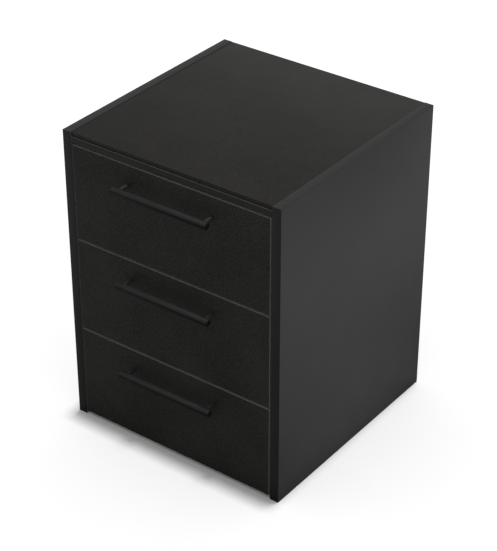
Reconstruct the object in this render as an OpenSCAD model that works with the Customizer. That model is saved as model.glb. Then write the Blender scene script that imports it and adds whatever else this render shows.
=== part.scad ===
// Nightstand with three drawers on full-extension ball slides.
// Origin: centre of the whole footprint on the floor. +X is the right side, -Y the front, +Z up.
// Drawers are numbered from the top: 1 is the uppermost, 3 the lowest.

/* [Cabinet] */
// Overall width across the side panels
cab_w = 410; // [380:1:600]
// Depth of the side panels, without the handles
cab_d = 406; // [400:1:500]
// Overall height
cab_h = 528; // [500:1:600]
// Thickness of the side, top and bottom boards
board = 16; // [16:1:19]
// Thickness of the loose top panel between the sides
insert_t = 7.5; // [6:0.5:9]
// How far the loose top panel sits below the side panels
insert_drop = 0.5; // [0:0.1:1]
// Gap on each side of the loose top panel
insert_gap = 0.4; // [0.3:0.1:2]
// How far the loose top panel is set back from the front
insert_setback = 1.8; // [1:0.1:3]
// Visible height of the carcass top's front edge
nose_h = 9.5; // [8:0.5:11]
// Height of the bottom board above the floor
bottom_z = 8; // [8:1:12]
// Thickness of the cabinet's edging strips
edging_t = 0.8; // [0.4:0.1:1]
// Thickness of the back panel and the drawer bottoms
thin_t = 3; // [3:0.5:4]
// Distance of the back panel from the rear edges
back_inset = 10; // [8:1:15]

/* [Drawers] */
// Gap above, below and between the drawer fronts
front_gap = 3.5; // [3:0.1:5]
// Gap between a drawer front and each side panel
side_gap = 2.4; // [1.5:0.1:3]
// Distance of the lowest front from the floor
foot_gap = 6.5; // [5:0.5:9]
// Thickness of the edging strips round the drawer fronts
front_edging_t = 0.5; // [0.4:0.1:1]
// Thickness of the boards of the drawer boxes
box_t = 12; // [12:0.5:14]
// Height of the drawer boxes
box_h = 120; // [110:1:125]
// Height of a drawer box above the lower edge of its front
box_rise = 22; // [20:1:24]

/* [Slides] */
// Length of the slides and of the drawer boxes
slide_len = 350; // [330:10:350]
// Height of a slide
slide_h = 35; // [33:1:37]
// Width of a slide, from the side panel to the drawer box
slide_w = 12.7; // [12.7:0.1:13]
// Thickness of the slide steel
steel_t = 1.2; // [1:0.1:1.2]
// Diameter of the bearing balls
ball_d = 2.8; // [2.4:0.1:2.8]
// Balls in each caged row
row_balls = 4; // [3:1:8]

/* [Handles] */
// Diameter of the bar
bar_d = 12; // [10:0.5:14]
// Length of the bar
bar_len = 180; // [176:1:220]
// Distance between the two posts
post_spacing = 160; // [128:32:160]
// Diameter of the posts
post_d = 6; // [6:0.5:8]
// Distance of the bar's centre from the drawer front
bar_reach = 23; // [20:1:28]
// Distance of the bar's centre from the upper edge of the front
bar_below = 36; // [30:1:40]

/* [Hidden] */
DRAWERS = [1, 2, 3];
SIDES = [-1, 1];
fit = 0.1;                       // play of a pin or screw in its hole
cut = 1;                         // how far a cutter runs past a face
$fn = 48;

// cabinet, worked out
inner_w = cab_w - 2 * board;
front_y = -(cab_d + bar_reach + bar_d / 2) / 2 + bar_reach + bar_d / 2;
back_y = front_y + cab_d;
insert_z = cab_h - insert_drop - insert_t;
nose_z = insert_z - nose_h;
top_z = insert_z - board;
front_room = 2;                  // air between a drawer front and what is behind it
carcass_y = front_y + board + front_room;
groove_deep = 7;
groove_play = 0.2;
back_panel_y = back_y - back_inset - thin_t;

// drawers, worked out
front_w = inner_w - 2 * side_gap;
front_h = (nose_z - foot_gap - len(DRAWERS) * front_gap) / len(DRAWERS);
box_w = inner_w - 2 * slide_w;
box_y = front_y + board;
box_inner_w = box_w - 2 * box_t;
bottom_rise = 10;                // drawer bottom above the box's lower edge

// slide sections, measured from the side panel (u) and from the slide's middle (z)
slide_y = carcass_y;
race_gap = ball_d + 0.6;
cabinet_lip = 10.5;
middle_web = 3.8;
middle_lip = 11;
drawer_lip = 5.6;
middle_h = slide_h - 2 * (steel_t + race_gap);
drawer_h = middle_h - 2 * (steel_t + race_gap);
slide_rise = 50;                 // slide's middle above the box's lower edge
slide_screws = [30, 175, 320];   // along the slide, from its front end
slot_len = 16;
slot_w = 5;
cage_len = 96;
cage_t = 0.6;
cage_u = 7.6;                    // middle of the ball rows, across the slide

// fastenings
screw_d = 3.5;
head_d = 7;
head_h = 1.8;
cam_d = 15;
cam_deep = 12.5;
cam_in = 24;                     // cam's centre from the end of its board
bolt_d = 5;
stem_d = 6;
dowel_d = 8;
dowel_len = 30;
dowel_in = 11;                   // dowel's depth in the side panel
cam_ys = [front_y + 50, back_y - 70];
dowel_ys = [front_y + 82, back_y - 102];
corner_rise = [18, 102];         // corner screws above the box's lower edge
handle_head_d = 8;
handle_head_h = 2.4;
machine_d = 4;

// ---- places that depend on the drawer's number ----

function front_z(i) = foot_gap + (len(DRAWERS) - i) * (front_h + front_gap);
function box_z(i) = front_z(i) + box_rise;
function slide_z(i) = box_z(i) + slide_rise;
function bar_z(i) = front_z(i) + front_h - bar_below;

// ---- shared shapes ----

// A block given by its lowest and highest corners
module block(low, high) {
    translate(low) cube(high - low);
}

// A hole or pin along +X or -X, starting at a point
module along_x(from, d, length, dir = 1) {
    translate(from) rotate([0, 90 * dir, 0]) cylinder(d = d, h = length);
}

// A hole or pin along +Y or -Y, starting at a point
module along_y(from, d, length, dir = 1) {
    translate(from) rotate([-90 * dir, 0, 0]) cylinder(d = d, h = length);
}

// Countersunk screw with a cross recess: head up, its face at z = 0, shank down
module wood_screw(length) {
    difference() {
        union() {
            translate([0, 0, -head_h]) cylinder(d1 = screw_d, d2 = head_d, h = head_h);
            translate([0, 0, -length + screw_d]) cylinder(d = screw_d, h = length - screw_d);
            translate([0, 0, -length]) cylinder(d1 = screw_d / 4, d2 = screw_d, h = screw_d);
        }
        cross_recess(3.6, 1.1);
    }
}

// The hole that a wood_screw fits, in the same place
module screw_hole(length) {
    translate([0, 0, -head_h - fit]) cylinder(d1 = screw_d + fit, d2 = head_d + 3 * fit, h = head_h + fit);
    translate([0, 0, -length - fit]) cylinder(d = screw_d + fit, h = length + fit);
    cylinder(d = head_d + 3 * fit, h = cut);
}

// Cross-shaped driver recess, cut down from z = 0
module cross_recess(across, deep) {
    for (a = [0, 90])
        rotate(a) translate([-across / 2, -0.4, -deep]) cube([across, 0.8, deep + cut]);
}

// Edging strip along +Z: w wide in X, t thick towards -Y, both outer corners rounded
module edging_strip(w, length, t = edging_t) {
    r = t * 0.8;
    steps = [0:22.5:90];
    linear_extrude(length) polygon(concat(
        [[0, 0]],
        [for (a = steps) [r - r * cos(a), -(t - r) - r * sin(a)]],
        [for (a = steps) [w - r + r * sin(a), -(t - r) - r * cos(a)]],
        [[w, 0]]));
}

// ---- cabinet ----

// Screws that hold the slides to a side panel, +Z pointing out of the wood
module at_cabinet_screws(side) {
    for (i = DRAWERS, s = slide_screws)
        translate([side * (inner_w / 2 - steel_t), slide_y + s, slide_z(i)])
            rotate([0, -90 * side, 0]) children();
}

module side_panel(side) {
    inside = side * inner_w / 2;
    outside = side * cab_w / 2;
    color("#2a2a29") difference() {
        block([min(inside, outside), front_y + edging_t, 0],
              [max(inside, outside), back_y, cab_h - edging_t]);
        // groove for the back panel
        translate([inside - groove_deep, back_panel_y - groove_play, -cut])
            cube([2 * groove_deep, thin_t + 2 * groove_play, cab_h - edging_t + 2 * cut]);
        for (z = [bottom_z, top_z] + [board / 2, board / 2]) {
            for (y = cam_ys) along_x([inside - side * cut, y, z], bolt_d + fit, 12 + cut, side);
            for (y = dowel_ys)
                along_x([inside - side * cut, y, z], dowel_d + fit, dowel_in + 0.5 + cut, side);
        }
        at_cabinet_screws(side) screw_hole(12);
    }
}

// Cam bores, bolt holes and dowel holes of a board between the sides, cut from below
module board_joinery(z) {
    for (side = SIDES) {
        end = side * inner_w / 2;
        for (y = cam_ys) {
            translate([end - side * cam_in, y, z - cut])
                cylinder(d = cam_d + fit, h = cam_deep + fit + cut);
            along_x([end + side * cut, y, z + board / 2], stem_d + 1, cam_in + cut, -side);
        }
        for (y = dowel_ys)
            along_x([end + side * cut, y, z + board / 2], dowel_d + fit, dowel_len - dowel_in + 1 + cut,
                    -side);
    }
}

// Screws that hold the loose top panel, driven up through the carcass top
module at_insert_screws() {
    for (x = SIDES * 130, y = [front_y + 60, back_y - 60])
        translate([x, y, top_z]) rotate([180, 0, 0]) children();
}

module carcass_top() {
    color("#2a2a29") difference() {
        block([-inner_w / 2, front_y + edging_t, top_z], [inner_w / 2, back_y, insert_z]);
        // rebate that clears the uppermost drawer front
        block([-inner_w / 2 - cut, front_y - cut, top_z - cut],
              [inner_w / 2 + cut, carcass_y, nose_z]);
        // groove for the back panel
        block([-inner_w / 2 - cut, back_panel_y - groove_play, top_z - cut],
              [inner_w / 2 + cut, back_panel_y + thin_t + groove_play, top_z + groove_deep]);
        board_joinery(top_z);
        at_insert_screws() screw_hole(board + cut);
    }
}

module top_insert() {
    half_w = inner_w / 2 - insert_gap;
    color("#33332f") difference() {
        block([-half_w, front_y + insert_setback, insert_z],
              [half_w, back_y, insert_z + insert_t]);
        at_insert_screws() screw_hole(board + 5);
    }
}

module bottom_board() {
    color("#2a2a29") difference() {
        block([-inner_w / 2, carcass_y, bottom_z], [inner_w / 2, back_y, bottom_z + board]);
        block([-inner_w / 2 - cut, back_panel_y - groove_play, bottom_z + board - groove_deep],
              [inner_w / 2 + cut, back_panel_y + thin_t + groove_play, bottom_z + board + cut]);
        board_joinery(bottom_z);
    }
}

module back_panel() {
    into = groove_deep - 0.5;
    color("#242424") block([-inner_w / 2 - into, back_panel_y, bottom_z + board - into],
                           [inner_w / 2 + into, back_panel_y + thin_t, top_z + into]);
}

module cabinet_edging() {
    color("#3a3a39") {
        for (side = SIDES) {
            left = min(side * inner_w / 2, side * cab_w / 2);
            // front edge of the side panel
            translate([left, front_y + edging_t, 0]) edging_strip(board, cab_h);
            // top edge of the side panel, laid back along +Y
            translate([left, front_y + edging_t, cab_h - edging_t])
                rotate([-90, 0, 0]) edging_strip(board, cab_d - edging_t);
        }
        // front edge of the carcass top, laid along +X
        translate([-inner_w / 2, front_y + edging_t, insert_z])
            rotate([0, 90, 0]) edging_strip(nose_h, inner_w);
    }
}

module at_cams() {
    for (side = SIDES, y = cam_ys, z = [bottom_z, top_z])
        translate([side * inner_w / 2, y, z + board / 2]) rotate([0, 0, side > 0 ? 180 : 0])
            children();
}

// Cam housing with a driver recess below and a pocket for the bolt's head
module cam_locks() {
    color("silver") at_cams() translate([cam_in, 0, -board / 2]) difference() {
        cylinder(d = cam_d, h = cam_deep);
        mirror([0, 0, 1]) cross_recess(7, 2.5);
        along_x([-cam_d, 0, board / 2], stem_d + 2, cam_d + 2.5);
        translate([0, 0, board / 2]) cylinder(d = cam_d - 3, h = 3.5, center = true);
    }
}

// Bolt with its screw end in the side panel and its head inside the cam
module cam_bolts() {
    color("silver") at_cams() {
        along_x([-11, 0, 0], bolt_d, 11);
        along_x([0, 0, 0], stem_d, cam_in - 5);
        along_x([cam_in - 5, 0, 0], stem_d - 2, 4);
        along_x([cam_in - 1, 0, 0], stem_d, 2.5);
    }
}

module wood_dowels() {
    color("burlywood")
        for (side = SIDES, y = dowel_ys, z = [bottom_z, top_z])
            translate([side * (inner_w / 2 + dowel_in), y, z + board / 2])
                rotate([0, -90 * side, 0]) {
                    cylinder(d1 = dowel_d - 2, d2 = dowel_d, h = 1);
                    translate([0, 0, 1]) cylinder(d = dowel_d, h = dowel_len - 2);
                    translate([0, 0, dowel_len - 1]) cylinder(d1 = dowel_d, d2 = dowel_d - 2, h = 1);
                }
}

module cabinet_screws() {
    color("silver") {
        for (side = SIDES) at_cabinet_screws(side) wood_screw(12);
        at_insert_screws() wood_screw(20);
    }
}

// ---- slides ----

// A channel along +Y from the origin: web at u = 0, lips towards +X
module channel(h, w) {
    rotate([-90, 0, 0]) linear_extrude(slide_len) difference() {
        translate([0, -h / 2]) square([w, h]);
        translate([steel_t, -h / 2 + steel_t]) square([w, h - 2 * steel_t]);
    }
}

// Screw holes and two free slots through a web that lies in the YZ plane
module web_holes() {
    for (s = slide_screws)
        translate([steel_t, s, 0]) rotate([0, 90, 0]) screw_hole(steel_t + cut);
    for (s = [slide_screws[0], slide_screws[1]] + [60, 60]) {
        along_x([-cut, s, 0], slot_w, steel_t + 2 * cut);
        along_x([-cut, s + slot_len, 0], slot_w, steel_t + 2 * cut);
        translate([-cut, s, -slot_w / 2]) cube([steel_t + 2 * cut, slot_len, slot_w]);
    }
}

// Puts children beside a side panel, +X pointing away from the wood
module at_slide(side, i, u = 0) {
    translate([side * (inner_w / 2 - u), slide_y, slide_z(i)]) mirror([side > 0 ? 1 : 0, 0, 0])
        children();
}

module cabinet_slide(side, i) {
    color("silver") at_slide(side, i) difference() {
        channel(slide_h, cabinet_lip);
        web_holes();
    }
}

module slide_middles(i) {
    color("gainsboro") for (side = SIDES) at_slide(side, i, middle_web)
        channel(middle_h, middle_lip - middle_web);
}

module drawer_slides(i) {
    color("silver") for (side = SIDES)
        at_slide(side, i, slide_w) mirror([1, 0, 0]) difference() {
            channel(drawer_h, slide_w - drawer_lip);
            web_holes();
        }
}

// One row of caged balls along +Y, in a strip that lies flat
module ball_row() {
    pitch = cage_len / row_balls;
    difference() {
        translate([-2.4, 0, -cage_t / 2]) cube([4.8, cage_len, cage_t]);
        for (k = [0:row_balls - 1])
            translate([0, (k + 0.5) * pitch, -cut]) cylinder(d = ball_d + 0.4, h = 2 * cut);
    }
    for (k = [0:row_balls - 1])
        translate([0, (k + 0.5) * pitch, 0]) sphere(d = ball_d);
}

// Outer rows run in the cabinet slide's lips, inner rows in the drawer slide's
module ball_cages(i) {
    outer_z = slide_h / 2 - steel_t - race_gap / 2;
    inner_z = middle_h / 2 - steel_t - race_gap / 2;
    color("lightgrey") for (side = SIDES, up = [-1, 1]) at_slide(side, i) {
        translate([cage_u, slide_len - cage_len - 10, up * outer_z]) ball_row();
        translate([cage_u + 1, 10, up * inner_z]) ball_row();
    }
}

// ---- drawers ----

// Holes through the front and the box front for the handle's two screws
module at_handle_posts(i) {
    for (side = SIDES) translate([side * post_spacing / 2, front_y, bar_z(i)]) children();
}

// Screws from inside the box into the decorative front
module at_front_screws(i) {
    for (side = SIDES, z = [28, 94])
        translate([side * 130, box_y + box_t, box_z(i) + z]) rotate([-90, 0, 0]) children();
}

module drawer_front(i) {
    z = front_z(i);
    half_w = front_w / 2 - front_edging_t;
    color("#262626") difference() {
        block([-half_w, front_y, z + front_edging_t],
              [half_w, box_y, z + front_h - front_edging_t]);
        at_handle_posts(i) along_y([0, -cut, 0], machine_d + 0.5, board + 2 * cut);
        at_front_screws(i) screw_hole(box_t + 12);
    }
}

module front_edging(i) {
    t = front_edging_t;
    z = front_z(i);
    color("#505050") {
        for (side = SIDES)
            translate([side * (front_w / 2 - t), side > 0 ? front_y : box_y, z])
                rotate(90 * side) edging_strip(board, front_h, t);
        for (up = [0, 1])
            translate([-front_w / 2 + t, up ? box_y : front_y, up ? z + front_h - t : z + t])
                rotate([90, 0, 90]) rotate(up ? 180 : 0)
                    edging_strip(board, front_w - 2 * t, t);
    }
}

// Groove for the drawer bottom, cut into the inner faces of the box
module bottom_groove(i) {
    into = 6;
    z = box_z(i) + bottom_rise;
    block([-box_inner_w / 2 - into, box_y + box_t - into, z - groove_play],
          [box_inner_w / 2 + into, box_y + slide_len - box_t + into, z + thin_t + groove_play]);
}

// Corner screws, driven in from outside the box sides
module at_corner_screws(side, i) {
    for (y = [box_y + box_t / 2, box_y + slide_len - box_t / 2], z = corner_rise)
        translate([side * box_w / 2, y, box_z(i) + z]) rotate([0, 90 * side, 0]) children();
}

// Screws that hold a slide to a box side, +Z pointing out of the wood
module at_slide_screws(side, i) {
    for (s = slide_screws)
        translate([side * (box_w / 2 + steel_t), slide_y + s, slide_z(i)])
            rotate([0, 90 * side, 0]) children();
}

module box_side(side, i) {
    inside = side * box_inner_w / 2;
    outside = side * box_w / 2;
    color("#222222") difference() {
        block([min(inside, outside), box_y, box_z(i)],
              [max(inside, outside), box_y + slide_len, box_z(i) + box_h]);
        bottom_groove(i);
        at_corner_screws(side, i) screw_hole(box_t + cut);
        at_slide_screws(side, i) screw_hole(11);
    }
}

// The box's two cross boards are alike: the front one takes the handle and front screws too
module box_cross(i, y) {
    difference() {
        block([-box_inner_w / 2, y, box_z(i)], [box_inner_w / 2, y + box_t, box_z(i) + box_h]);
        bottom_groove(i);
        for (side = SIDES) at_corner_screws(side, i) screw_hole(30);
    }
}

module box_front(i) {
    color("#222222") difference() {
        box_cross(i, box_y);
        at_handle_posts(i) along_y([0, board - cut, 0], machine_d + 0.5, box_t + 2 * cut);
        at_front_screws(i) screw_hole(box_t + cut);
    }
}

module box_back(i) {
    color("#222222") box_cross(i, box_y + slide_len - box_t);
}

module box_bottom(i) {
    into = 5.7;
    z = box_z(i) + bottom_rise;
    color("#1e1e1e") block([-box_inner_w / 2 - into, box_y + box_t - into, z],
                           [box_inner_w / 2 + into, box_y + slide_len - box_t + into, z + thin_t]);
}

module drawer_screws(i) {
    color("silver") {
        for (side = SIDES) {
            at_corner_screws(side, i) wood_screw(30);
            at_slide_screws(side, i) wood_screw(11);
        }
        at_front_screws(i) wood_screw(box_t + 12);
    }
}

// ---- handles ----

socket_deep = 3.5;
post_end = bar_reach - bar_d / 2 + socket_deep;

// Round bar with a small chamfer at both ends and a socket for each post
module handle_bar(i) {
    chamfer = 0.8;
    straight = bar_len - 2 * chamfer;
    color("#1c1c1c") difference() {
        translate([-bar_len / 2, front_y - bar_reach, bar_z(i)]) rotate([0, 90, 0]) {
            cylinder(d1 = bar_d - 2 * chamfer, d2 = bar_d, h = chamfer);
            translate([0, 0, chamfer]) cylinder(d = bar_d, h = straight);
            translate([0, 0, chamfer + straight])
                cylinder(d1 = bar_d, d2 = bar_d - 2 * chamfer, h = chamfer);
        }
        at_handle_posts(i) along_y([0, 0, 0], post_d + fit, post_end + fit, -1);
    }
}

// Posts with a tapped hole for the handle screw
module handle_posts(i) {
    color("#1c1c1c") at_handle_posts(i) difference() {
        along_y([0, 0, 0], post_d, post_end, -1);
        along_y([0, cut, 0], machine_d + fit, post_end - 3 + cut, -1);
    }
}

// Pan-head machine screws, heads inside the drawer
module handle_screws(i) {
    head_y = board + box_t;
    color("silver") at_handle_posts(i) {
        along_y([0, head_y, 0], machine_d, head_y + post_end - 5, -1);
        translate([0, head_y, 0]) rotate([-90, 0, 0]) difference() {
            union() {
                cylinder(d = handle_head_d, h = handle_head_h / 2);
                translate([0, 0, handle_head_h / 2])
                    cylinder(d1 = handle_head_d, d2 = handle_head_d - 3, h = handle_head_h / 2);
            }
            translate([0, 0, handle_head_h]) cross_recess(4, 1.5);
        }
    }
}

// ---- drawing ----

side_panel(-1);  // side_panel_left
side_panel(1);  // side_panel_right
carcass_top();
top_insert();
bottom_board();
back_panel();
cabinet_edging();
cam_locks();
cam_bolts();
wood_dowels();
cabinet_screws();
for (i = DRAWERS) {
    cabinet_slide(-1, i);
    cabinet_slide(1, i);
    slide_middles(i);
    ball_cages(i);
    drawer_slides(i);
    drawer_front(i);
    front_edging(i);
    box_front(i);
    box_side(-1, i);
    box_side(1, i);
    box_back(i);
    box_bottom(i);
    drawer_screws(i);
    handle_bar(i);
    handle_posts(i);
    handle_screws(i);
}
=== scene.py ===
"""Black three-drawer nightstand: its finishes, its softened edges and the studio round it.

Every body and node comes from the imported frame. Lengths are in metres, with +Z up, -Y the way
the drawers open and +X the right side. Drawers are numbered from the top.
"""

import logging
import math
from dataclasses import dataclass, field
from enum import Enum
from typing import Optional

import bpy
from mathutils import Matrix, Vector

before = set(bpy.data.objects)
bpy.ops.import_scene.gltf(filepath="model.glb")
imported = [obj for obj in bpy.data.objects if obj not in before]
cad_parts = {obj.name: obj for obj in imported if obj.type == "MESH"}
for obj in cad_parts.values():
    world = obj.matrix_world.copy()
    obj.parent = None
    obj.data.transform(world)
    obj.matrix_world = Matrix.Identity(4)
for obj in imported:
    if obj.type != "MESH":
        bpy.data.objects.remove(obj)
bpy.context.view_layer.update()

DRAWERS = (1, 2, 3)
MM = 0.001
JOINED_WITHIN = 0.002 * MM
CREASE = math.radians(32)
EASED_FROM = math.radians(50)

Colour = tuple[float, float, float, float]
log = logging.getLogger("nightstand")


# -------------------------------------------------------------- named options


class Facing(Enum):
    """A side of a piece that differs from the rest, as the axis and sign of its normal."""

    UP = ("Z", 1.0)
    FRONT = ("Y", -1.0)
    LEFT = ("X", -1.0)
    RIGHT = ("X", 1.0)


class Arris(Enum):
    """How far a piece's edges are eased, as a width in metres."""

    CRISP = 0.0
    SCRAPED = 0.15 * MM
    EASED = 0.35 * MM


# ---------------------------------------------------------------- node graphs


class Graph:
    """One material's node tree, with short ways to add and join its nodes."""

    def __init__(self, name: str) -> None:
        """Start an empty material.

        Args:
            name: The material's name.
        """
        self.material = bpy.data.materials.new(name)
        self.material.use_nodes = True
        self.tree = self.material.node_tree
        self.tree.nodes.clear()
        self.place = self.add("ShaderNodeTexCoord").outputs["Object"]

    def add(self, kind: str, **settings: object) -> bpy.types.Node:
        """Add a node and set its properties.

        Args:
            kind: Blender's name for the kind of node.
            **settings: Properties of the node.

        Returns:
            The new node.
        """
        node = self.tree.nodes.new(kind)
        for key, value in settings.items():
            setattr(node, key, value)
        return node

    def feed(self, socket: bpy.types.NodeSocket, value: object) -> None:
        """Join a socket to an input, or set the input's own value.

        Args:
            socket: The input to feed.
            value: An output socket, or a plain value for the input.
        """
        if isinstance(value, bpy.types.NodeSocket):
            self.tree.links.new(value, socket)
        else:
            socket.default_value = value

    def stretched(self, scale: tuple[float, float, float]) -> bpy.types.NodeSocket:
        """Scale the object's own coordinates, so that a pattern runs along one axis.

        Args:
            scale: How much denser the pattern is along X, Y and Z.

        Returns:
            The scaled coordinates.
        """
        mapping = self.add("ShaderNodeMapping")
        self.feed(mapping.inputs["Vector"], self.place)
        mapping.inputs["Scale"].default_value = scale
        return mapping.outputs["Vector"]

    def noise(
        self,
        per_metre: float,
        detail: float = 3.0,
        rough: float = 0.55,
        place: Optional[bpy.types.NodeSocket] = None,
    ) -> bpy.types.NodeSocket:
        """A cloud of noise.

        Args:
            per_metre: Size of the cloud, in lumps per metre.
            detail: How many finer layers it has.
            rough: How strong the finer layers are.
            place: Coordinates to use in place of the object's own.

        Returns:
            The noise as a number from 0 to 1.
        """
        node = self.add("ShaderNodeTexNoise")
        self.feed(node.inputs["Vector"], place or self.place)
        node.inputs["Scale"].default_value = per_metre
        node.inputs["Detail"].default_value = detail
        node.inputs["Roughness"].default_value = rough
        return node.outputs["Fac"]

    def cells(self, per_metre: float) -> bpy.types.NodeSocket:
        """A bed of rounded cells, one for each dimple of a textured face.

        Args:
            per_metre: Cells per metre.

        Returns:
            The distance from the middle of the nearest cell.
        """
        node = self.add("ShaderNodeTexVoronoi", feature="SMOOTH_F1")
        self.feed(node.inputs["Vector"], self.place)
        node.inputs["Scale"].default_value = per_metre
        node.inputs["Smoothness"].default_value = 0.6
        return node.outputs["Distance"]

    def span(
        self,
        value: bpy.types.NodeSocket,
        low: float,
        high: float,
        start: float = 0.3,
        end: float = 0.7,
    ) -> bpy.types.NodeSocket:
        """Stretch a number onto a new range.

        Args:
            value: The number to stretch.
            low: What start becomes.
            high: What end becomes.
            start: The lower end of the old range.
            end: The upper end of the old range.

        Returns:
            The stretched number.
        """
        node = self.add("ShaderNodeMapRange", clamp=True)
        self.feed(node.inputs["Value"], value)
        node.inputs["From Min"].default_value = start
        node.inputs["From Max"].default_value = end
        node.inputs["To Min"].default_value = low
        node.inputs["To Max"].default_value = high
        return node.outputs["Result"]

    def mix(
        self,
        share: bpy.types.NodeSocket,
        first: object,
        second: object,
    ) -> bpy.types.NodeSocket:
        """Blend two colours.

        Args:
            share: How much of the second colour shows, from 0 to 1.
            first: A colour, or a socket that gives one.
            second: A colour, or a socket that gives one.

        Returns:
            The blended colour.
        """
        node = self.add("ShaderNodeMix", data_type="RGBA")
        self.feed(node.inputs[0], share)
        self.feed(node.inputs[6], first)
        self.feed(node.inputs[7], second)
        return node.outputs[2]

    def sum(
        self, first: bpy.types.NodeSocket, second: object, how: str = "ADD"
    ) -> bpy.types.NodeSocket:
        """Join two numbers by arithmetic.

        Args:
            first: One number.
            second: The other, as a socket or a plain number.
            how: Blender's name for the operation.

        Returns:
            The result.
        """
        node = self.add("ShaderNodeMath", operation=how)
        self.feed(node.inputs[0], first)
        self.feed(node.inputs[1], second)
        return node.outputs["Value"]

    def times(self, number: bpy.types.NodeSocket, factor: object) -> bpy.types.NodeSocket:
        """Multiply a number by a plain number or by another socket."""
        return self.sum(number, factor, "MULTIPLY")

    def bump(
        self,
        height: bpy.types.NodeSocket,
        strength: float,
        depth: float,
        under: Optional[bpy.types.NodeSocket] = None,
    ) -> bpy.types.NodeSocket:
        """Turn a height into a bumped normal.

        Args:
            height: The height, from 0 to 1.
            strength: How strongly it shows.
            depth: The height's full depth in metres.
            under: A coarser bump that this one lies on.

        Returns:
            The bumped normal.
        """
        node = self.add("ShaderNodeBump")
        node.inputs["Strength"].default_value = strength
        node.inputs["Distance"].default_value = depth
        self.feed(node.inputs["Height"], height)
        if under is not None:
            self.feed(node.inputs["Normal"], under)
        return node.outputs["Normal"]

    def arris(self, radius: float) -> bpy.types.NodeSocket:
        """Find the sharp edges, which the finishes paint paler as painted highlight and some make
        less rough.

        Args:
            radius: How far the paler edge line reaches from an edge.

        Returns:
            A number that is 1 on an edge and 0 away from it.
        """
        rounded = self.add("ShaderNodeBevel", samples=4)
        rounded.inputs["Radius"].default_value = radius
        true_face = self.add("ShaderNodeNewGeometry")
        likeness = self.add("ShaderNodeVectorMath", operation="DOT_PRODUCT")
        self.feed(likeness.inputs[0], rounded.outputs["Normal"])
        self.feed(likeness.inputs[1], true_face.outputs["Normal"])
        return self.span(likeness.outputs["Value"], 1.0, 0.0, 0.8, 0.995)

    def facing(self, side: Facing, start: float, end: float) -> bpy.types.NodeSocket:
        """Find the part of a surface that faces one way.

        Args:
            side: The way it faces.
            start: Slope at which it begins to count.
            end: Slope from which it counts in full.

        Returns:
            A number that is 1 where the surface faces that way and 0 elsewhere.
        """
        axis, sign = side.value
        lie = self.add("ShaderNodeSeparateXYZ")
        self.feed(lie.inputs[0], self.add("ShaderNodeNewGeometry").outputs["Normal"])
        return self.span(self.times(lie.outputs[axis], sign), 0.0, 1.0, start, end)

    def finish(self, **inputs: object) -> bpy.types.Material:
        """Close the graph with a principled surface.

        Args:
            **inputs: The surface's inputs by name, with _ for a space.

        Returns:
            The finished material.
        """
        surface = self.add("ShaderNodeBsdfPrincipled")
        for key, value in inputs.items():
            self.feed(surface.inputs[key.replace("_", " ")], value)
        output = self.add("ShaderNodeOutputMaterial")
        self.feed(output.inputs["Surface"], surface.outputs["BSDF"])
        return self.material


# ------------------------------------------------------------------- finishes


@dataclass(frozen=True)
class BoardFinish:
    """Black melamine face with a fine pearl grain, and if asked an inner face painted paler as
    painted light.
    """

    name: str
    dark: Colour
    light: Colour
    smooth: float
    dull: float
    gloss: float
    tint: Colour = (1.0, 1.0, 1.0, 1.0)
    grain: float = 0.35
    pearls_per_metre: float = 900.0
    pearl_depth: float = 0.03 * MM
    specks_per_metre: float = 420.0
    clouds_per_metre: float = 9.0
    cloud_share: float = 0.25
    waves_per_metre: float = 55.0
    wave_depth: float = 0.05 * MM
    inside: Optional[Facing] = None
    painted_inside_light: Colour = (0.15, 0.15, 0.147, 1.0)

    def make(self) -> bpy.types.Material:
        """Build the material.

        Returns:
            A black board face with grain, faint clouding and uneven sheen.
        """
        g = Graph(self.name)
        clouds = g.noise(self.clouds_per_metre, detail=4.0)
        speckle = g.noise(self.specks_per_metre, detail=2.0, rough=0.7)
        tone = g.sum(
            g.times(clouds, self.cloud_share), g.times(speckle, 1.0 - self.cloud_share)
        )
        colour = g.mix(g.span(tone, 0.0, 1.0, 0.42, 0.58), self.dark, self.light)
        # Painted light: the inner face is paler grey, standing in for light in the shaded gap beside
        # the drawer fronts.
        if self.inside is not None:
            colour = g.mix(g.facing(self.inside, 0.9, 0.99), colour, self.painted_inside_light)
        sheen = g.sum(g.noise(26.0), g.times(speckle, 0.4))
        roughness = g.span(sheen, self.smooth, self.dull, 0.45, 0.95)
        waves = g.bump(g.noise(self.waves_per_metre, detail=1.0), 0.06, self.wave_depth)
        normal = g.bump(g.cells(self.pearls_per_metre), self.grain, self.pearl_depth, waves)
        return g.finish(
            Base_Color=colour, Roughness=roughness, Normal=normal,
            Specular_IOR_Level=self.gloss, Specular_Tint=self.tint,
        )


@dataclass(frozen=True)
class EdgingFinish:
    """Smooth edging strip with one side in another tone as painted light, and a pale edge line as
    painted highlight.
    """

    name: str
    dark: Colour
    light: Colour
    facing: Facing
    faced: Colour
    painted_edge_line: Colour
    smooth: float = 0.3
    dull: float = 0.42
    gloss: float = 0.2

    def make(self) -> bpy.types.Material:
        """Build the material.

        Returns:
            A smooth strip with faint extrusion lines, one side in another tone as painted light and
            a paler edge line as painted highlight.
        """
        g = Graph(self.name)
        lines = g.noise(900.0, detail=2.0)
        clouds = g.noise(14.0)
        body = g.mix(g.span(clouds, 0.0, 1.0), self.dark, self.light)
        # Painted light: the chosen side takes another tone, such as a paler upper side, or a dark
        # front beside sides painted pale as highlight.
        body = g.mix(g.facing(self.facing, 0.5, 0.85), body, self.faced)
        edge = g.arris(0.5 * MM)
        # Painted highlight: a paler line along the edges.
        colour = g.mix(g.times(edge, 0.45), body, self.painted_edge_line)
        sheen = g.span(g.sum(clouds, g.times(lines, 0.5)), self.smooth, self.dull, 0.5, 1.0)
        roughness = g.sum(sheen, g.times(edge, 0.08), "SUBTRACT")
        normal = g.bump(lines, 0.15, 0.01 * MM)
        return g.finish(
            Base_Color=colour, Roughness=roughness, Normal=normal, Specular_IOR_Level=self.gloss
        )


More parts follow.
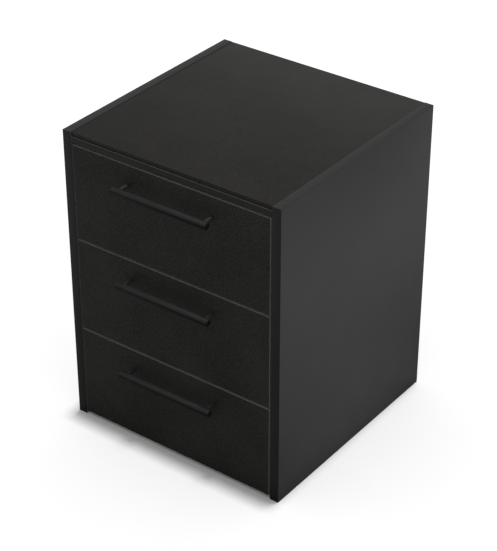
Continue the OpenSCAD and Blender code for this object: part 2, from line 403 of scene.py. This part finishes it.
@dataclass(frozen=True)
class PowderCoat:
    """Black powder coat on the bar pulls, its upper side painted paler as painted light from above.
    """

    name: str = "handle powder coat"
    coat: Colour = (0.011, 0.011, 0.011, 1.0)
    painted_lit: Colour = (0.0197, 0.0197, 0.0197, 1.0)
    painted_lit_pale: Colour = (0.0230, 0.0230, 0.0228, 1.0)
    painted_arris_shine: Colour = (0.05, 0.05, 0.05, 1.0)
    smooth: float = 0.46
    dull: float = 0.56
    gloss: float = 0.05

    def make(self) -> bpy.types.Material:
        """Build the material.

        Returns:
            A satin black coat with orange peel, a paler upper side as painted light and paler
            arrises as painted highlight.
        """
        g = Graph(self.name)
        peel = g.cells(1100.0)
        clouds = g.noise(60.0)
        edge = g.arris(0.6 * MM)
        # Painted light: the upper side is paler than the underside, with a faint random tone across
        # it.
        lit_top = g.mix(g.span(clouds, 0.0, 1.0), self.painted_lit, self.painted_lit_pale)
        body = g.mix(g.facing(Facing.UP, 0.2, 0.5), self.coat, lit_top)
        # Painted highlight: the arrises are paler, as if catching light.
        colour = g.mix(g.times(edge, 0.3), body, self.painted_arris_shine)
        roughness = g.sum(g.span(clouds, self.smooth, self.dull), g.times(edge, 0.08), "SUBTRACT")
        normal = g.bump(peel, 0.3, 0.02 * MM)
        return g.finish(
            Base_Color=colour, Roughness=roughness, Normal=normal, Specular_IOR_Level=self.gloss
        )


@dataclass(frozen=True)
class PlatedSteel:
    """Zinc-plated steel, rolled along one axis."""

    name: str
    pale: Colour = (0.62, 0.63, 0.65, 1.0)
    blue: Colour = (0.50, 0.53, 0.57, 1.0)
    bright: Colour = (0.78, 0.78, 0.78, 1.0)
    rolling: tuple[float, float, float] = (700.0, 12.0, 700.0)
    smooth: float = 0.22
    dull: float = 0.4

    def make(self) -> bpy.types.Material:
        """Build the material.

        Returns:
            Plated steel with rolling lines, a blue tint in clouds and edges painted bright as
            painted highlight.
        """
        g = Graph(self.name)
        lines = g.noise(1.0, detail=3.0, place=g.stretched(self.rolling))
        clouds = g.noise(40.0, detail=4.0)
        edge = g.arris(0.4 * MM)
        body = g.mix(g.span(clouds, 0.0, 1.0), self.pale, self.blue)
        # Painted highlight: the edges are paler.
        colour = g.mix(g.times(edge, 0.6), body, self.bright)
        roughness = g.span(g.sum(lines, clouds), self.smooth, self.dull, 0.8, 1.2)
        normal = g.bump(lines, 0.2, 0.01 * MM)
        return g.finish(Base_Color=colour, Roughness=roughness, Normal=normal, Metallic=1.0)


@dataclass(frozen=True)
class BrightSteel:
    """Polished steel of the bearing balls and their cages."""

    name: str = "bright ball steel"
    polish: Colour = (0.72, 0.72, 0.73, 1.0)
    greasy: Colour = (0.56, 0.55, 0.5, 1.0)

    def make(self) -> bpy.types.Material:
        """Build the material.

        Returns:
            Polished steel under a thin film of grease.
        """
        g = Graph(self.name)
        grease = g.noise(160.0, detail=4.0)
        colour = g.mix(g.span(grease, 0.0, 1.0), self.polish, self.greasy)
        roughness = g.span(grease, 0.1, 0.34)
        normal = g.bump(g.noise(500.0), 0.1, 0.01 * MM)
        return g.finish(Base_Color=colour, Roughness=roughness, Normal=normal, Metallic=1.0)


@dataclass(frozen=True)
class DieCastZinc:
    """Dull die-cast zinc of the cam housings."""

    name: str = "die-cast zinc"
    dark: Colour = (0.36, 0.36, 0.37, 1.0)
    light: Colour = (0.48, 0.48, 0.48, 1.0)

    def make(self) -> bpy.types.Material:
        """Build the material.

        Returns:
            A dull grey casting with a sandy skin.
        """
        g = Graph(self.name)
        skin = g.noise(900.0, detail=5.0)
        clouds = g.noise(90.0)
        colour = g.mix(g.span(clouds, 0.0, 1.0), self.dark, self.light)
        roughness = g.span(clouds, 0.42, 0.6)
        normal = g.bump(skin, 0.35, 0.05 * MM)
        return g.finish(Base_Color=colour, Roughness=roughness, Normal=normal, Metallic=0.9)


@dataclass(frozen=True)
class Hardboard:
    """Thin hardboard with a black lacquered face."""

    name: str = "black hardboard"
    dark: Colour = (0.010, 0.010, 0.010, 1.0)
    light: Colour = (0.022, 0.020, 0.018, 1.0)
    gloss: float = 0.35

    def make(self) -> bpy.types.Material:
        """Build the material.

        Returns:
            A dark fibrous panel with a thin lacquer.
        """
        g = Graph(self.name)
        fibres = g.noise(1.0, detail=5.0, rough=0.7, place=g.stretched((160.0, 420.0, 160.0)))
        clouds = g.noise(8.0)
        both = g.sum(fibres, clouds)
        colour = g.mix(g.span(both, 0.0, 1.0, 0.8, 1.2), self.dark, self.light)
        roughness = g.span(both, 0.46, 0.66, 0.8, 1.2)
        normal = g.bump(fibres, 0.35, 0.06 * MM)
        return g.finish(
            Base_Color=colour, Roughness=roughness, Normal=normal, Specular_IOR_Level=self.gloss
        )


@dataclass(frozen=True)
class Beech:
    """Plain beech of the wooden dowels, its grain along X."""

    name: str = "beech dowel"
    pale: Colour = (0.62, 0.42, 0.25, 1.0)
    brown: Colour = (0.46, 0.29, 0.16, 1.0)
    fleck: Colour = (0.25, 0.13, 0.06, 1.0)

    def make(self) -> bpy.types.Material:
        """Build the material.

        Returns:
            Pale beech with fine dark flecks along the dowel.
        """
        g = Graph(self.name)
        grain = g.noise(1.0, detail=5.0, place=g.stretched((30.0, 900.0, 900.0)))
        flecks = g.noise(1.0, detail=1.0, place=g.stretched((220.0, 2600.0, 2600.0)))
        body = g.mix(g.span(grain, 0.0, 1.0), self.pale, self.brown)
        colour = g.mix(g.span(flecks, 0.0, 0.6, 0.6, 0.75), body, self.fleck)
        normal = g.bump(grain, 0.3, 0.05 * MM)
        return g.finish(Base_Color=colour, Roughness=g.span(grain, 0.5, 0.7), Normal=normal)


class Finishes:
    """Every finish of the nightstand, each made once."""

    def __init__(self) -> None:
        """Make the materials."""
        warm = (1.0, 0.96, 0.84, 1.0)
        self.left_side = self.side_board("left side board", Facing.RIGHT)
        self.right_side = self.side_board("right side board", Facing.LEFT)
        self.top = BoardFinish(
            "top board", dark=(0.0010, 0.0010, 0.0008, 1.0), light=(0.0085, 0.0082, 0.0072, 1.0),
            smooth=0.40, dull=0.45, gloss=0.22, tint=warm, grain=0.5, pearls_per_metre=520.0,
        ).make()
        self.front = BoardFinish(
            "front board", dark=(0.0135, 0.0133, 0.0118, 1.0), light=(0.031, 0.0305, 0.0277, 1.0),
            smooth=0.53, dull=0.58, gloss=0.11, tint=warm, grain=0.5, pearls_per_metre=520.0,
        ).make()
        self.inner = BoardFinish(
            "inner board", dark=(0.010, 0.010, 0.010, 1.0), light=(0.016, 0.016, 0.0155, 1.0),
            smooth=0.45, dull=0.6, gloss=0.35,
        ).make()
        # Painted highlight: the carcass top is pale grey so its thin ledge under the top shows as a
        # lit line.
        self.carcass_top = BoardFinish(
            "carcass top board", dark=(0.075, 0.075, 0.073, 1.0), light=(0.095, 0.095, 0.092, 1.0),
            smooth=0.45, dull=0.6, gloss=0.35,
        ).make()
        # Painted light: the edging's upper side is paler, and its paler edge line is a painted
        # highlight.
        self.edging = EdgingFinish(
            "edging", dark=(0.0085, 0.0085, 0.0083, 1.0), light=(0.0105, 0.0105, 0.0102, 1.0),
            facing=Facing.UP, faced=(0.016, 0.016, 0.0157, 1.0), painted_edge_line=(0.055, 0.055, 0.054, 1.0),
        ).make()
        # Painted highlight: the front edging is pale grey on its sides, top and bottom, for bright
        # lines in the gaps; its front face stays dark.
        self.front_edging = EdgingFinish(
            "front edging", dark=(0.205, 0.205, 0.2, 1.0), light=(0.235, 0.235, 0.23, 1.0),
            facing=Facing.FRONT, faced=(0.045, 0.045, 0.0435, 1.0), painted_edge_line=(0.24, 0.24, 0.235, 1.0),
        ).make()
        self.hardboard = Hardboard().make()
        self.handle = PowderCoat().make()
        self.post = PowderCoat(
            "handle post coat", coat=(0.030, 0.030, 0.030, 1.0),
            painted_lit=(0.034, 0.034, 0.034, 1.0), painted_lit_pale=(0.039, 0.039, 0.0386, 1.0),
        ).make()
        self.slide = PlatedSteel("plated slide steel").make()
        self.screw = PlatedSteel("plated screws", rolling=(500.0, 500.0, 500.0), smooth=0.28).make()
        self.ball = BrightSteel().make()
        self.cam = DieCastZinc().make()
        self.beech = Beech().make()

    def side_board(self, name: str, inside: Facing) -> bpy.types.Material:
        """Make the finish of one side panel.

        Args:
            name: The material's name.
            inside: The way the panel's inner face looks, which is painted paler grey as painted
                light.

        Returns:
            A satin black board face with an inner face painted paler as painted light.
        """
        return BoardFinish(
            name, dark=(0.0022, 0.0021, 0.0021, 1.0), light=(0.0055, 0.0053, 0.0053, 1.0),
            smooth=0.35, dull=0.39, gloss=0.3, tint=(1.0, 0.97, 0.965, 1.0), grain=0.3,
            inside=inside,
        ).make()


# ------------------------------------------------------------ edges and nodes


def dress(node: str, finish: bpy.types.Material, arris: Arris = Arris.CRISP) -> None:
    """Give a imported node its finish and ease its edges.

    Args:
        node: The node's name.
        finish: The material it takes.
        arris: How far its edges are eased.
    """
    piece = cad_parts[node]
    piece.data.materials.clear()
    piece.data.materials.append(finish)
    piece.data.shade_smooth()
    weld = piece.modifiers.new("joined faces", "WELD")
    weld.merge_threshold = JOINED_WITHIN
    if arris is Arris.CRISP:
        split = piece.modifiers.new("crisp edges", "EDGE_SPLIT")
        split.split_angle = CREASE
    else:
        bevel = piece.modifiers.new("eased edges", "BEVEL")
        bevel.width = arris.value
        bevel.segments = 3
        bevel.limit_method = "ANGLE"
        bevel.angle_limit = EASED_FROM
        bevel.harden_normals = True
        bevel.use_clamp_overlap = True
    log.info("%s: %s, %s", node, finish.name, arris.name.lower())


# -------------------------------------------------------------- sub-assemblies


@dataclass
class Carcass:
    """The case: side panels, carcass top, bottom board, back panel and edging."""

    finishes: Finishes

    def build(self) -> None:
        """Dress the boards, the back and the edging."""
        dress("side_panel_left", self.finishes.left_side, Arris.SCRAPED)
        dress("side_panel_right", self.finishes.right_side, Arris.SCRAPED)
        dress("carcass_top", self.finishes.carcass_top)
        dress("bottom_board", self.finishes.inner)
        dress("back_panel", self.finishes.hardboard, Arris.SCRAPED)
        dress("cabinet_edging", self.finishes.edging)


@dataclass
class LooseTop:
    """The loose top panel that lies between the side panels."""

    finishes: Finishes

    def build(self) -> None:
        """Dress the panel, with its edges eased by the foil that wraps it."""
        dress("top_insert", self.finishes.top, Arris.EASED)


@dataclass
class KnockDownFittings:
    """Cams, bolts, dowels and screws that hold the carcass together."""

    finishes: Finishes

    def build(self) -> None:
        """Dress the fittings."""
        dress("cam_locks", self.finishes.cam)
        dress("cam_bolts", self.finishes.screw)
        dress("wood_dowels", self.finishes.beech)
        dress("cabinet_screws", self.finishes.screw)


@dataclass
class BallSlides:
    """Left and right ball slides of one drawer."""

    drawer: int
    finishes: Finishes

    def build(self) -> None:
        """Dress the three members of both slides and their caged balls."""
        members = ("cabinet_slide_left", "cabinet_slide_right", "slide_middles", "drawer_slides")
        for member in members:
            dress(f"{member}_{self.drawer}", self.finishes.slide, Arris.SCRAPED)
        dress(f"ball_cages_{self.drawer}", self.finishes.ball)


@dataclass
class DrawerBox:
    """One drawer's box of four boards and a bottom, with its screws."""

    drawer: int
    finishes: Finishes

    def build(self) -> None:
        """Dress the boards, the bottom and the screws."""
        for board in ("box_front", "box_side_left", "box_side_right", "box_back"):
            dress(f"{board}_{self.drawer}", self.finishes.inner)
        dress(f"box_bottom_{self.drawer}", self.finishes.hardboard)
        dress(f"drawer_screws_{self.drawer}", self.finishes.screw)


@dataclass
class DrawerFront:
    """One drawer's decorative front and the edging round it."""

    drawer: int
    finishes: Finishes

    def build(self) -> None:
        """Dress the front board and its edging."""
        dress(f"drawer_front_{self.drawer}", self.finishes.front)
        dress(f"front_edging_{self.drawer}", self.finishes.front_edging)


@dataclass
class BarHandle:
    """One round bar pull on two posts, with its screws."""

    drawer: int
    finishes: Finishes

    def build(self) -> None:
        """Dress the bar, the posts and the screws."""
        dress(f"handle_bar_{self.drawer}", self.finishes.handle, Arris.SCRAPED)
        dress(f"handle_posts_{self.drawer}", self.finishes.post)
        dress(f"handle_screws_{self.drawer}", self.finishes.screw)


# ---------------------------------------------------------------------- studio


@dataclass
class Sheet:
    """One level sheet of the floor.

    Its tone runs from near to far over the ring. To the right it is paler by up to right_gain,
    but not in front of the nightstand, and towards the back it is greyer by up to back_loss.
    """

    name: str
    height: float
    near: float
    far: float
    right_gain: float = 0.0
    back_loss: float = 0.0
    ring: tuple[float, float] = (0.45, 0.9)
    right: tuple[float, float] = (0.15, 0.66)
    beside: tuple[float, float] = (-0.25, -0.05)
    back: tuple[float, float] = (0.15, 0.9)
    half_size: float = 30.0

    def build(self) -> bpy.types.Object:
        """Lay the sheet.

        Returns:
            The sheet, with a faintly clouded matt face.
        """
        mesh = bpy.data.meshes.new(self.name)
        s, z = self.half_size, self.height
        mesh.from_pydata([(-s, -s, z), (s, -s, z), (s, s, z), (-s, s, z)], [], [(0, 1, 2, 3)])
        sheet = bpy.data.objects.new(self.name, mesh)
        bpy.context.scene.collection.objects.link(sheet)
        g = Graph(self.name)
        across = g.add("ShaderNodeSeparateXYZ")
        g.feed(across.inputs[0], g.place)
        away = g.add("ShaderNodeVectorMath", operation="LENGTH")
        g.feed(away.inputs[0], g.place)
        beside = g.span(across.outputs["Y"], 0.0, 1.0, *self.beside)
        paler = g.times(g.span(across.outputs["X"], 0.0, self.right_gain, *self.right), beside)
        greyer = g.span(across.outputs["Y"], 0.0, self.back_loss, *self.back)
        clouds = g.span(g.noise(3.0), 0.99, 1.0)
        # On the mirrored sheet these tones are painted light and shade: darker near the nightstand,
        # paler to the right, greyer to the back.
        tone = g.sum(g.span(away.outputs["Value"], self.near, self.far, *self.ring), paler)
        tone = g.times(g.sum(tone, greyer, "SUBTRACT"), clouds)
        mesh.materials.append(g.finish(Base_Color=tone, Roughness=0.9, Specular_IOR_Level=0.0))
        return sheet


@dataclass
class Floor:
    """A pale floor, and the greyer sheet whose light the nightstand takes in its place, painted with
    the floor's light and shade.
    """

    seen: Sheet = field(default_factory=lambda: Sheet("floor", height=0.0, near=0.9, far=0.9))
    # Painted shade and light of the floor, seen only in the nightstand's reflections and bounced
    # light.
    mirrored: Sheet = field(
        default_factory=lambda: Sheet(
            "mirrored floor", height=-0.2 * MM, near=0.265, far=0.46, right_gain=0.70, back_loss=0.42
        )
    )

    def build(self) -> None:
        """Lay both sheets."""
        pale = self.seen.build()
        pale.visible_glossy = False
        pale.visible_diffuse = False
        pale.visible_shadow = False
        grey = self.mirrored.build()
        grey.visible_camera = False
        grey.visible_transmission = False


@dataclass
class DistantLamp:
    """A far lamp nearly overhead. The bar pulls don't block it, so they throw no hard shadow."""

    name: str = "overhead"
    lean_right: float = 0.008
    lean_back: float = 0.042
    angle: float = 4.0
    strength: float = 2.17
    height: float = 3.0

    def build(self) -> None:
        """Hang the lamp, turn it to the floor and let it shine past the bar pulls."""
        lamp = bpy.data.lights.new(self.name, "SUN")
        lamp.energy = self.strength
        lamp.angle = math.radians(self.angle)
        hung = bpy.data.objects.new(self.name, lamp)
        away = Vector((self.lean_right, self.lean_back, 1.0))
        hung.location = away * self.height
        hung.rotation_mode = "QUATERNION"
        hung.rotation_quaternion = (-away).to_track_quat("-Z", "Y")
        bpy.context.scene.collection.objects.link(hung)
        passed = bpy.data.collections.new("no hard shadow")
        for drawer in DRAWERS:
            for part in ("handle_bar", "handle_posts"):
                passed.objects.link(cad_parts[f"{part}_{drawer}"])
        for member in passed.collection_objects:
            member.light_linking.link_state = "EXCLUDE"
        hung.light_linking.blocker_collection = passed


@dataclass
class Surround:
    """The room's even light, and how bright the room itself looks."""

    even: float = 0.53
    seen: float = 1.0

    def build(self) -> None:
        """Set the world, which looks white behind the floor."""
        world = bpy.data.worlds.new("studio surround")
        world.use_nodes = True
        bpy.context.scene.world = world
        tree = world.node_tree
        background = tree.nodes["Background"]
        background.inputs["Color"].default_value = (1.0, 1.0, 1.0, 1.0)
        seen = tree.nodes.new("ShaderNodeMapRange")
        seen.inputs["To Min"].default_value = self.even
        seen.inputs["To Max"].default_value = self.seen
        ray = tree.nodes.new("ShaderNodeLightPath")
        tree.links.new(ray.outputs["Is Camera Ray"], seen.inputs["Value"])
        tree.links.new(seen.outputs["Result"], background.inputs["Strength"])


@dataclass
class StudioCamera:
    """The camera: in front, to the right and above."""

    azimuth: float = 36.653
    elevation: float = 32.144
    distance: float = 2.9093
    aim: tuple[float, float, float] = (0.0, 0.0099, 0.2422)
    lens: float = 117.22

    def build(self) -> None:
        """Place the camera and make it the scene's own."""
        a, e = math.radians(self.azimuth), math.radians(self.elevation)
        back = Vector((math.sin(a) * math.cos(e), -math.cos(a) * math.cos(e), math.sin(e)))
        data = bpy.data.cameras.new("camera")
        data.lens = self.lens
        data.sensor_width = 36.0
        camera = bpy.data.objects.new("camera", data)
        camera.location = Vector(self.aim) + back * self.distance
        camera.rotation_mode = "QUATERNION"
        camera.rotation_quaternion = (-back).to_track_quat("-Z", "Y")
        bpy.context.scene.collection.objects.link(camera)
        bpy.context.scene.camera = camera


@dataclass
class Studio:
    """Floor, lamp, surround and camera."""

    floor: Floor = field(default_factory=Floor)
    lamp: DistantLamp = field(default_factory=DistantLamp)
    surround: Surround = field(default_factory=Surround)
    camera: StudioCamera = field(default_factory=StudioCamera)

    def build(self) -> None:
        """Set up the whole studio."""
        bpy.context.scene.view_settings.view_transform = "Standard"
        for part in (self.floor, self.lamp, self.surround, self.camera):
            part.build()


def main() -> None:
    """Build the studio and dress every sub-assembly, one after another."""
    logging.basicConfig(level=logging.INFO, format="%(name)s: %(message)s")
    Studio().build()
    finishes = Finishes()
    Carcass(finishes).build()
    LooseTop(finishes).build()
    KnockDownFittings(finishes).build()
    for drawer in DRAWERS:
        BallSlides(drawer, finishes).build()
        DrawerBox(drawer, finishes).build()
        DrawerFront(drawer, finishes).build()
        BarHandle(drawer, finishes).build()


if __name__ == "__main__":
    main()
